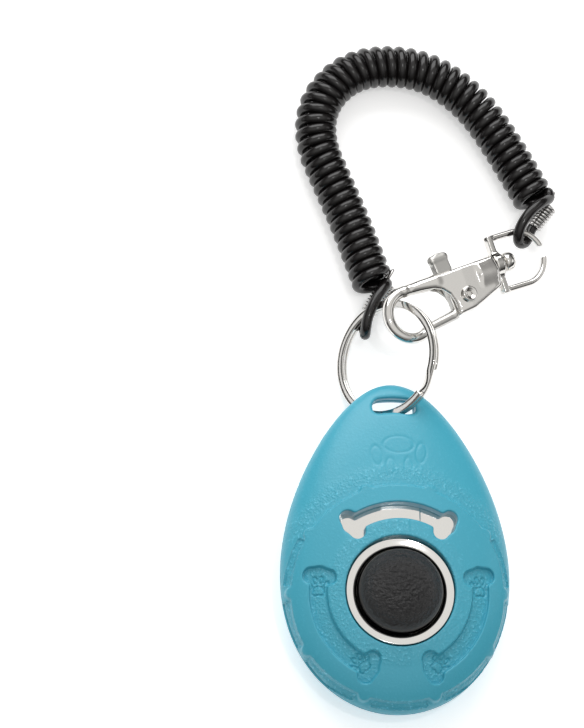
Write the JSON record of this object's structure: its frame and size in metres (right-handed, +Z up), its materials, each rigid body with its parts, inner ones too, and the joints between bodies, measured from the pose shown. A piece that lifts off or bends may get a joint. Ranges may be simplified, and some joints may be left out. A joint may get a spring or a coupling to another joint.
{
  "type": "training clicker",
  "caption": "Egg-shaped hand clicker with a raised push button, a key ring in its tip, a lever snap hook and a coiled wrist cord.",
  "frame": {"origin": "foot of the button's axis on the flat back, on the surface the clicker lies on", "axes": "+Z up through the button, +Y towards the key-ring tip and the wrist cord, +X to the right as seen from above with the tip pointing away"},
  "size_m": [0.0571, 0.1362, 0.0197],
  "materials": {
    "teal_front": "fine satin grain, moulded",
    "teal_back": "fine satin grain, moulded",
    "screw_steel": "zinc plated",
    "spring_steel": "bright sheet with a mirror finish",
    "button_black": "coarse leather-like grain, satin",
    "stem_black": "moulded",
    "clip_steel": "stamped spring steel",
    "ring_nickel": "bright nickel plate",
    "clasp_nickel": "bright nickel plate on a casting",
    "lever_nickel": "satin nickel plate",
    "rivet_nickel": "bright nickel plate",
    "gate_spring_steel": "drawn spring wire",
    "post_nickel": "bright nickel plate",
    "d_ring_nickel": "bright nickel plate",
    "cord_black": "glossy smooth extruded cord",
    "sleeve_steel": "close-wound bright wire"
  },
  "bodies": {
    "housing": {"front_shell": "teal_front", "back_cover": "teal_back", "cover_screws": "screw_steel", "click_plate": "spring_steel"},
    "button": {"button_cap": "button_black", "button_stem": "stem_black", "stem_clip": "clip_steel"},
    "ring": {"split_ring": "ring_nickel"},
    "clasp": {"hook_body": "clasp_nickel", "gate_rivet": "rivet_nickel", "gate_spring": "gate_spring_steel", "swivel_post": "post_nickel"},
    "gate": {"gate_lever": "lever_nickel"},
    "strap": {"d_ring": "d_ring_nickel", "coil_cord": "cord_black", "ring_end_loop": "cord_black", "clasp_end_loop": "cord_black", "ring_end_sleeve": "sleeve_steel", "clasp_end_sleeve": "sleeve_steel"}
  },
  "joints": [
    {"name": "button_press", "type": "slide", "parent": "housing", "child": "button", "axis": [0, 0, -1], "range_m": [0, 0.001], "stiffness_N_per_m": 2500, "deforming": ["click_plate"]},
    {"name": "ring_swing", "type": "hinge", "parent": "housing", "child": "ring", "pos_m": [-0.0004, 0.0365, 0.00895], "axis": [0.7193, 0, 0.6947], "range_deg": [-8, 20]},
    {"name": "strap_swing", "type": "hinge", "parent": "ring", "child": "strap", "pos_m": [-0.004, 0.0575, 0.00545], "axis": [0.6409, 0.454, 0.619], "range_deg": [-8, 8]},
    {"name": "gate_turn", "type": "hinge", "parent": "clasp", "child": "gate", "pos_m": [0.01509, 0.0605, 0.0095], "axis": [-0.2892, 0.0381, -0.9565], "range_deg": [0, 25], "stiffness_Nm_per_rad": 0.02},
    {"name": "swivel_turn", "type": "hinge", "parent": "strap", "child": "clasp", "pos_m": [0.01377, 0.06434, 0.01005], "axis": [0.9018, 0.3462, -0.2588], "range_deg": [-6, 6]}
  ]
}
